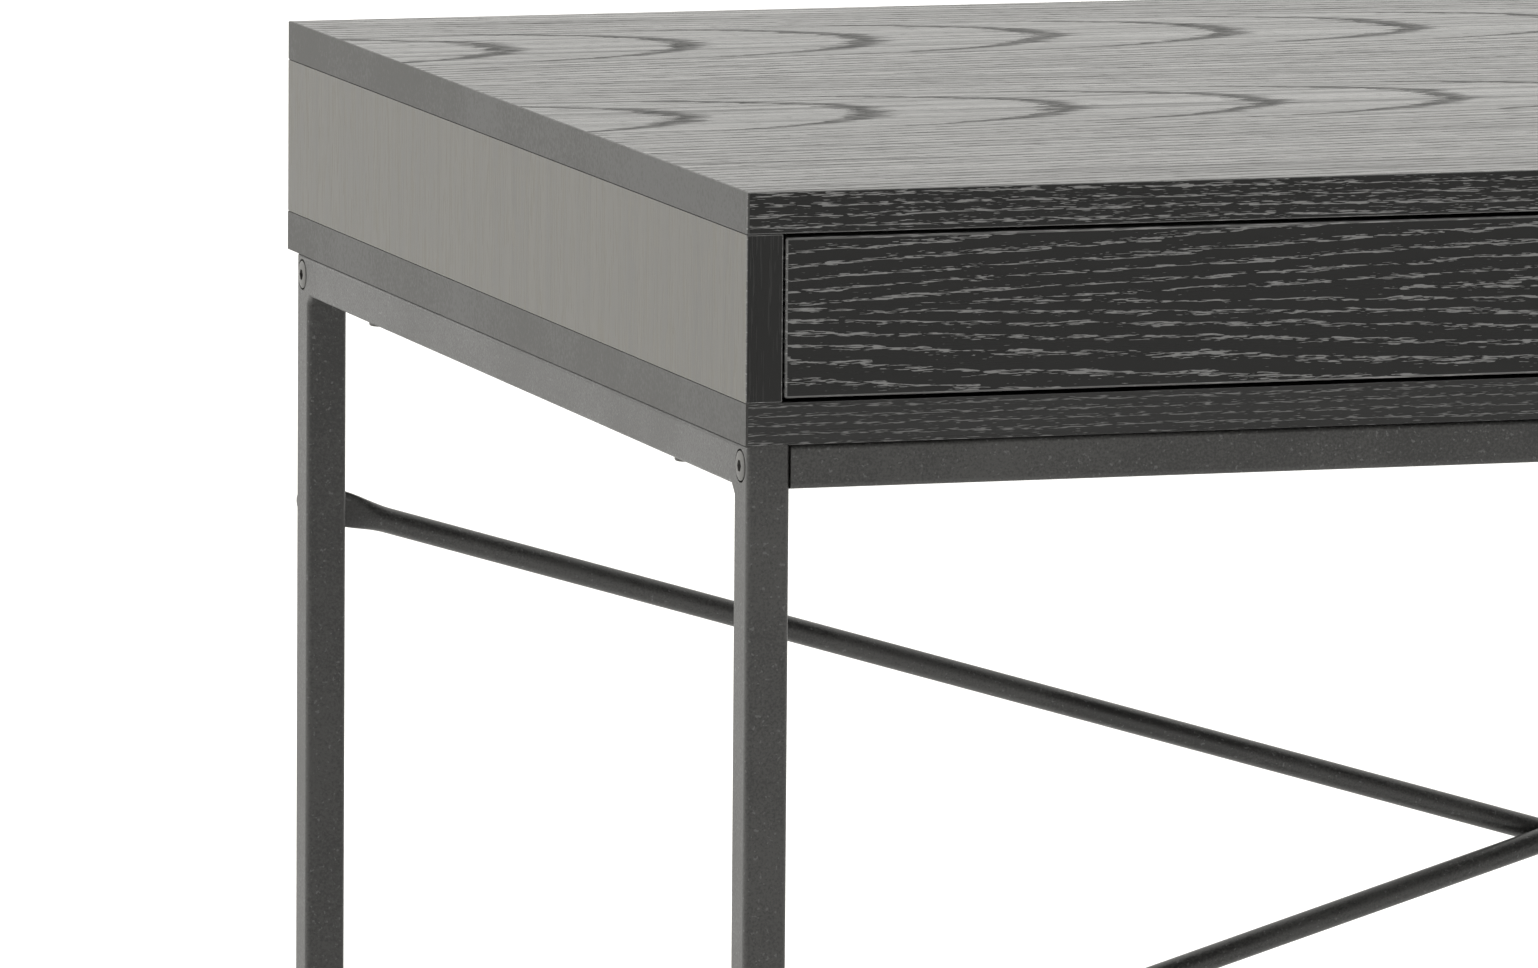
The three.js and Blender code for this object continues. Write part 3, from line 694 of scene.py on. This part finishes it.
def side_frame(side_name):
    front_low, front_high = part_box(f"{side_name}_front_leg")
    back_low, back_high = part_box(f"{side_name}_back_leg")
    rail_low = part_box(f"{side_name}_side_rail")[0]
    foot, top, rail = front_low.z, front_high.z, rail_low.z
    outline = [
        (front_low.y, foot), (front_high.y, foot), (front_high.y, rail - WELD),
        (front_high.y + WELD, rail), (back_low.y - WELD, rail), (back_low.y, rail - WELD),
        (back_low.y, foot), (back_high.y, foot), (back_high.y, top), (front_low.y, top),
    ]
    bm = bmesh.new()
    plate = bm.faces.new([bm.verts.new((front_low.x, y, z)) for y, z in outline])
    drawn = bmesh.ops.extrude_face_region(bm, geom=[plate])["geom"]
    moved = [v for v in drawn if isinstance(v, bmesh.types.BMVert)]
    bmesh.ops.translate(bm, verts=moved, vec=(front_high.x - front_low.x, 0, 0))
    bmesh.ops.recalc_face_normals(bm, faces=bm.faces)
    rims = [e for e in bm.edges if abs(e.verts[0].co.x - e.verts[1].co.x) < SAME_PLACE
            and max(v.co.z for v in e.verts) > foot + SAME_PLACE]
    ease(bm, TUBE_ROUND, rims, 5)
    middle_x = (front_low.x + front_high.x) / 2
    inward = -1 if middle_x > 0 else 1
    bolt_z = (rail_low.z + top) / 2
    cutters = []
    for low, high in ((front_low, front_high), (back_low, back_high)):
        y, half = (low.y + high.y) / 2, TUBE / 2 - TUBE_WALL
        cutters.append(block((middle_x - half, y - half, foot - PAST_FOOT),
                             (middle_x + half, y + half, rail - HOLLOW_STOP)))
        outer_face = (middle_x - inward * TUBE / 2, y, bolt_z)
        cutters.append(bar(BOLT_HOLE / 2, 2 * (TUBE - TUBE_WALL), 48, outer_face, (1, 0, 0)))
        cutters.append(bar(SHANK_HOLE / 2, SHANK_CUT, 32, (middle_x, y, bolt_z), (1, 0, 0)))
    for height in BRACE_HEIGHTS:
        cutters.append(bar(SHANK_HOLE / 2, BRACE_CUT, 32, (middle_x, back_high.y, height), (0, 1, 0)))
    bm = carve(bm, cutters)
    nodes = [f"{side_name}_{part}" for part in ("front_leg", "back_leg", "side_rail")]
    to_piece(bm, f"{side_name}_welded_frame", [powder], "desk", nodes)


for side_name in ("left", "right"):
    side_frame(side_name)
for rail_name in ("front_rail", "back_rail"):
    bm = solid_copy(rail_name)
    to_piece(bm, rail_name + "_tube", [powder], "desk", [rail_name])
print("frame pieces", 4)

# %% [markdown]
# Bolts and screws
#
# A bolt is a turned part: half its outline is spun round the axis, and the hexagon socket is cut
# out of the head. The frame bolts sit in round holes in the legs with only the face showing, and the
# smaller ones hold the rods. The wood screws under the rails have a cross slot instead.

# %% Turned fasteners
ROUND = 48
HEX_RADIUS, HEX_DEEP = 0.004 / sqrt(3), 0.0022
FRAME_HEAD, FRAME_HEAD_LONG = 0.011, TUBE - 0.001
BRACE_HEAD, BRACE_HEAD_LONG = 0.0105, 0.0032
BOLT_SHANK = 0.006
SCREW_HEAD, SCREW_HEAD_LONG, SCREW_SHANK = 0.008, 0.0024, 0.004
SLOT_LONG, SLOT_WIDE, SLOT_DEEP = 0.0023, 0.0006, 0.0014


def turned(profile, segments=ROUND):
    """Spins a profile of (radius, height) points round Z into a closed solid."""
    bm = bmesh.new()
    verts = [bm.verts.new((radius, 0, height)) for radius, height in profile]
    edges = [bm.edges.new(pair) for pair in zip(verts, verts[1:])]
    bmesh.ops.spin(bm, geom=[*verts, *edges], cent=(0, 0, 0), axis=(0, 0, 1), dvec=(0, 0, 0),
                   angle=2 * pi, steps=segments, use_merge=True)
    bmesh.ops.remove_doubles(bm, verts=bm.verts, dist=1e-7)
    bmesh.ops.recalc_face_normals(bm, faces=bm.faces)
    return bm


def head_profile(head, head_length, shank, length, rim=0.0006, dome=0.0002, point=0.0008):
    """From the middle of the head's face to the tip of the shank."""
    return [
        (0, 0), (head * 0.30, dome * 0.25), (head / 2 - rim, dome),
        (head / 2 - rim * 0.3, dome + rim * 0.3), (head / 2, dome + rim), (head / 2, head_length),
        (shank / 2, head_length), (shank / 2, length - point), (shank / 2 - point, length), (0, length),
    ]


def fit(bm, node_name, axis):
    """Stands a part made along +Z on the start of the measured box, pointing along axis."""
    low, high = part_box(node_name)
    axis = Vector(axis)
    start = (low + high) / 2
    for k in range(3):
        if abs(axis[k]) > 0.5:
            start[k] = low[k] if axis[k] > 0 else high[k]
    turn = Vector((0, 0, 1)).rotation_difference(axis).to_matrix().to_4x4()
    bmesh.ops.transform(bm, matrix=Matrix.Translation(start) @ turn, verts=bm.verts)
    return bm


def bolt(node_name, axis, head, head_length, finish=fastener):
    low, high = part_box(node_name)
    length = abs((high - low).dot(Vector(axis)))
    bm = turned(head_profile(head, head_length, BOLT_SHANK, length))
    bm = carve(bm, [bar(HEX_RADIUS, 2 * HEX_DEEP, 6, (0, 0, 0), (0, 0, 1))])
    # The faces inside the hex socket take the near-black finish: painted shade in the recess.
    for face in bm.faces:
        middle = face.calc_center_median()
        if middle.z > HEX_DEEP / 4 and middle.xy.length < HEX_RADIUS:
            face.material_index = 1
    to_piece(fit(bm, node_name, axis), node_name + "_turned", [finish, black_zinc_and_socket_shade], "desk",
             [node_name])


def wood_screw(node_name, axis):
    low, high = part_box(node_name)
    length = abs((high - low).dot(Vector(axis)))
    profile = head_profile(SCREW_HEAD, SCREW_HEAD_LONG, SCREW_SHANK, length, rim=0.0008, point=0.0018)
    bm = turned(profile, 32)
    slots = [block((-long, -wide, -SLOT_DEEP), (long, wide, SLOT_DEEP))
             for long, wide in ((SLOT_LONG, SLOT_WIDE), (SLOT_WIDE, SLOT_LONG))]
    to_piece(fit(carve(bm, slots), node_name, axis), node_name + "_turned", [fastener], "desk",
             [node_name])


for side_name, inward in (("left", 1), ("right", -1)):
    for row in ("front", "back"):
        bolt(f"{side_name}_{row}_frame_bolt", (inward, 0, 0), FRAME_HEAD, FRAME_HEAD_LONG)
        wood_screw(f"{side_name}_{row}_board_screw", (0, 0, 1))
    for row in ("upper", "lower"):
        bolt(f"{side_name}_{row}_brace_bolt", (0, -1, 0), BRACE_HEAD, BRACE_HEAD_LONG, black_zinc_and_socket_shade)
print("fasteners", 12)

# %% [markdown]
# Feet
#
# A plastic plug closes the bottom of each leg and keeps the steel off the floor. Only its plate shows,
# with edges rounded like the tube's.

# %% Foot plugs
PLUG_ARRIS = 0.0005
for side_name in ("left", "right"):
    for row in ("front", "back"):
        foot_name = f"{side_name}_{row}_foot"
        bm = solid_copy(foot_name)
        ease(bm, PLUG_ARRIS)
        to_piece(bm, foot_name + "_plug", [plastic], "desk", [foot_name])
print("feet", 4)

# %% [markdown]
# The cross brace
#
# Two round rods cross behind the desk. Their ends are pressed flat in a die, so the round bar widens
# in a smooth curve into a flat tongue with a round end, and a bolt goes through it into the leg. A
# loft suits that: one circle of points is drawn out along the rod, ring by ring, and each ring
# is squeezed from round to flat on the way.

# %% Pressed rods
ROD, TONGUE_WIDE, TONGUE_THICK = 0.010, 0.014, 0.0035
TONGUE_LONG, FLARE_LONG = 0.017, 0.022
ROD_SIDES, TIP_RINGS, FLARE_RINGS = 36, 8, 14
FLAT_POWER = 0.35
SEAT_GAP = 0.0003


def eased(value):
    value = min(max(value, 0.0), 1.0)
    return value * value * (3 - 2 * value)


def rod_ring(from_end):
    """Half thickness, half width, squareness and flatness of the rod at a distance from its end."""
    flat = 1 - eased((from_end - TONGUE_LONG) / FLARE_LONG)
    tip = min(from_end / (TONGUE_WIDE / 2), 1)
    width = (ROD + (TONGUE_WIDE - ROD) * flat) / 2 * sqrt(max(0.0, 1 - (1 - tip) ** 2))
    return (ROD + (TONGUE_THICK - ROD) * flat) / 2, width, 1 + (FLAT_POWER - 1) * flat, flat


def pressed_rod(name, node_name, plane, falling):
    leg_low, leg_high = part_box("left_back_leg")
    reach = -(leg_low.x + leg_high.x) / 2
    rise = BRACE_HEIGHTS[0] - BRACE_HEIGHTS[1]
    length = sqrt((2 * reach) ** 2 + rise ** 2) + TONGUE_WIDE
    tongue_plane = leg_high.y + SEAT_GAP + TONGUE_THICK / 2
    tips = [TONGUE_WIDE / 2 * (1 - cos(pi / 2 * (i + 0.5) / TIP_RINGS)) for i in range(TIP_RINGS)]
    flares = [TONGUE_LONG + FLARE_LONG * i / FLARE_RINGS for i in range(FLARE_RINGS + 1)]
    half = [d - length / 2 for d in tips + flares]
    stations = half + [-x for x in reversed(half)]
    bm = bmesh.new()
    ring = bmesh.ops.create_circle(bm, cap_ends=True, segments=ROD_SIDES, radius=1)["verts"]
    angles = [2 * pi * i / ROD_SIDES for i in range(ROD_SIDES)]
    edges = list(bm.edges)
    for number, x in enumerate(stations):
        if number:
            drawn = bmesh.ops.extrude_edge_only(bm, edges=edges)["geom"]
            edges = [g for g in drawn if isinstance(g, bmesh.types.BMEdge)]
            ring = [g for g in drawn if isinstance(g, bmesh.types.BMVert)]
        thick, wide, power, flat = rod_ring(length / 2 - abs(x))
        for vert, angle in zip(ring, angles):
            c, s = cos(angle), sin(angle)
            back = thick * abs(c) ** power * (1 if c >= 0 else -1) + flat * (tongue_plane - plane)
            up = wide * abs(s) ** power * (1 if s >= 0 else -1)
            vert.co = (x, back, up)
    bmesh.ops.holes_fill(bm, edges=edges, sides=0)
    bmesh.ops.recalc_face_normals(bm, faces=bm.faces)
    slope = (1 if falling == "right" else -1) * Vector((2 * reach, rise)).angle_signed(Vector((1, 0)))
    turn = Matrix.Rotation(-slope, 4, "Y")
    place = Matrix.Translation((0, plane, sum(BRACE_HEIGHTS) / 2))
    bmesh.ops.transform(bm, matrix=place @ turn, verts=bm.verts)
    to_piece(bm, name, [powder], "desk", [node_name])


for falling in ("right", "left"):
    node_name = f"brace_rod_falling_{falling}"
    low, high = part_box(node_name)
    plane = low.y + ROD / 2 if falling == "right" else high.y - ROD / 2
    pressed_rod(f"pressed_rod_falling_{falling}", node_name, plane, falling)
print("rods", 2)

# %% [markdown]
# Drawer runners
#
# A ball runner is two folded steel channels with a cage of steel balls rolling between them. The
# cabinet channel stays in the box, the drawer channel goes with the drawer, and the cage moves half
# as far. The channels are softened copies. The cages are made anew, because their balls should be
# round when a drawer is open.

# %% Channels and ball cages
BALL_RADIUS, BALL_COUNT, CAGE_WALL, FOLD = 0.0012, 6, 0.0008, 0.00025
BALL_SEGMENTS, BALL_RINGS = 16, 10


def ball_cage(node_name, body, facing):
    low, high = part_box(node_name)
    middle = (low + high) / 2
    web = low.x if facing > 0 else high.x
    depth = high.x - low.x
    half_height = (high.z - low.z) / 2
    row = half_height - BALL_RADIUS
    strip = row + CAGE_WALL / 2
    outline = [(0, -strip), (depth, -strip), (depth, CAGE_WALL - strip), (CAGE_WALL, CAGE_WALL - strip),
               (CAGE_WALL, strip - CAGE_WALL), (depth, strip - CAGE_WALL), (depth, strip), (0, strip)]
    bm = bmesh.new()
    face = bm.faces.new([bm.verts.new((web + facing * x, low.y, middle.z + z)) for x, z in outline])
    drawn = bmesh.ops.extrude_face_region(bm, geom=[face])["geom"]
    moved = [v for v in drawn if isinstance(v, bmesh.types.BMVert)]
    bmesh.ops.translate(bm, verts=moved, vec=(0, high.y - low.y, 0))
    bmesh.ops.recalc_face_normals(bm, faces=bm.faces)
    ease(bm, FOLD * 0.8, None, 1)
    pitch = (high.y - low.y) / BALL_COUNT
    for i in range(BALL_COUNT):
        for side in (-1, 1):
            centre = (web + facing * depth / 2, low.y + (i + 0.5) * pitch, middle.z + side * row)
            bmesh.ops.create_uvsphere(bm, u_segments=BALL_SEGMENTS, v_segments=BALL_RINGS,
                                      radius=BALL_RADIUS, matrix=Matrix.Translation(centre))
    to_piece(bm, node_name + "_rolled", [zinc], body, [node_name])


for drawer in DRAWERS:
    for side_name, facing in (("left", 1), ("right", -1)):
        runner = f"{drawer}_{side_name}_runner"
        for part, body in (("cabinet_channel", "desk"), ("drawer_channel", drawer)):
            bm = solid_copy(f"{runner}_{part}")
            ease(bm, FOLD)
            to_piece(bm, f"{runner}_{part}_folded", [zinc], body, [f"{runner}_{part}"])
        ball_cage(f"{runner}_ball_cage", f"{drawer}_ball_cages", facing)
print("runners", 4)

# %% [markdown]
# Push latches
#
# The drawers have no handles: a push on the front lets a sprung plunger behind the drawer throw it
# open. The body is a plain moulded block with a bore, and the plunger is turned with a round tip.

# %% Latches
HOUSING_ARRIS = 0.0006
TIP_RADIUS, TIP_LONG, TIP_EDGE, PIN_RADIUS = 0.0055, 0.004, 0.0015, 0.004
QUARTER_TURN = [radians(15 * i) for i in range(7)]
tip_curve = [(TIP_RADIUS - TIP_EDGE + TIP_EDGE * sin(a), TIP_EDGE - TIP_EDGE * cos(a))
             for a in QUARTER_TURN]
for drawer in DRAWERS:
    bm = solid_copy(f"{drawer}_latch_body")
    ease(bm, HOUSING_ARRIS)
    to_piece(bm, f"{drawer}_latch_housing", [plastic], "desk", [f"{drawer}_latch_body"])
    low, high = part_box(f"{drawer}_latch_plunger")
    length = high.y - low.y
    profile = [(0, 0), *tip_curve, (TIP_RADIUS, TIP_LONG), (PIN_RADIUS, TIP_LONG),
               (PIN_RADIUS, length), (0, length)]
    bm = fit(turned(profile), f"{drawer}_latch_plunger", (0, 1, 0))
    to_piece(bm, f"{drawer}_latch_pin", [plastic], f"{drawer}_latch_plunger",
             [f"{drawer}_latch_plunger"])
print("latches", len(DRAWERS))
